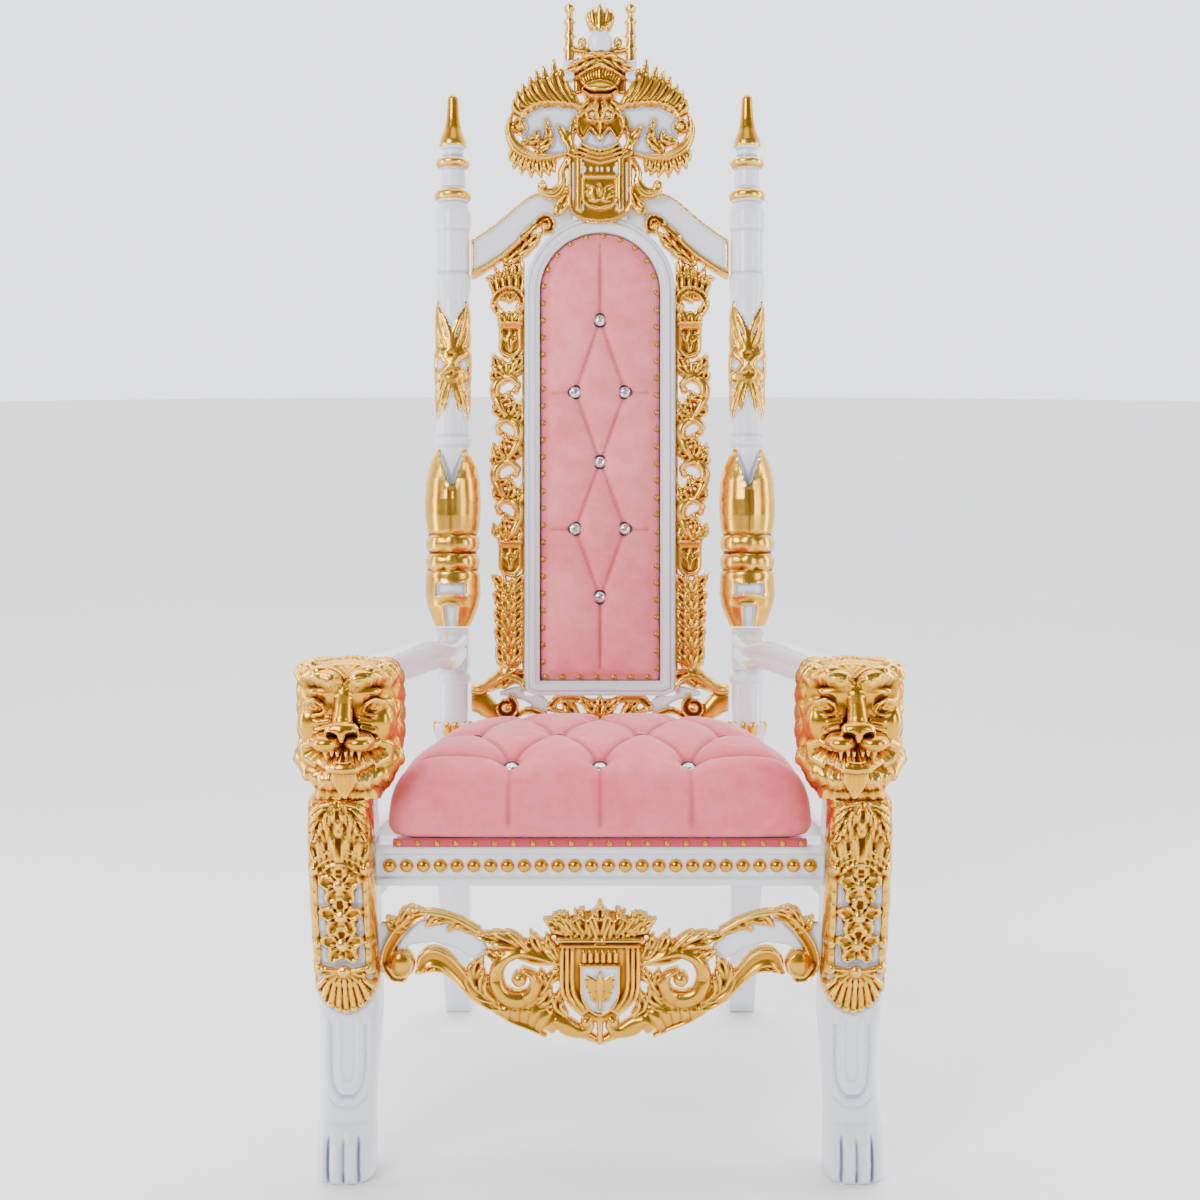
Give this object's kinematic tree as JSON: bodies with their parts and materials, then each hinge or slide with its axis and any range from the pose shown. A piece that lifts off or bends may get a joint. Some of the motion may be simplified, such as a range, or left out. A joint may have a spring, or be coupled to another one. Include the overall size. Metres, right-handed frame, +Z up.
{
  "type": "carved lion throne",
  "caption": "Tall carved throne with lion-head arms, gilded openwork back and crest, and a buttoned velvet seat and back pad.",
  "frame": {"origin": "middle of the footprint, on the floor", "axes": "+Z up, the front faces -Y, +X to the right as seen from the front"},
  "size_m": [0.8718, 0.8524, 1.8253],
  "materials": {
    "white_wood": "gloss white lacquer, picked out in gold leaf",
    "gilt_wood": "burnished gold leaf over carving",
    "velvet": "pink velvet over foam, deep buttoned",
    "crystal": "cut crystal in a dark ring",
    "backing": "plain backing cloth over board"
  },
  "bodies": {
    "root": {"apron": "gilt_wood", "arm_left": "white_wood", "arm_right": "white_wood", "back_button_1": "crystal", "back_button_2": "crystal", "back_button_3": "crystal", "back_button_4": "crystal", "back_button_5": "crystal", "back_button_6": "crystal", "back_button_7": "crystal", "back_cover": "backing", "back_frame": "white_wood", "back_pad": "velvet", "back_rail": "white_wood", "crest": "gilt_wood", "fretwork_left": "gilt_wood", "fretwork_right": "gilt_wood", "front_leg_left": "white_wood", "front_leg_right": "white_wood", "front_rail": "white_wood", "lion_head_left": "gilt_wood", "lion_head_right": "gilt_wood", "lower_rail": "gilt_wood", "rail_beads": "gilt_wood", "rear_post_left": "white_wood", "rear_post_right": "white_wood", "seat_button_1": "crystal", "seat_button_2": "crystal", "seat_button_3": "crystal", "seat_button_4": "crystal", "seat_button_5": "crystal", "seat_button_6": "crystal", "seat_button_7": "crystal", "seat_button_8": "crystal", "seat_button_9": "crystal", "seat_button_10": "crystal", "seat_cushion": "velvet", "seat_deck": "backing", "side_rail_left": "white_wood", "side_rail_right": "white_wood", "top_rail": "white_wood"}
  },
  "joints": []
}
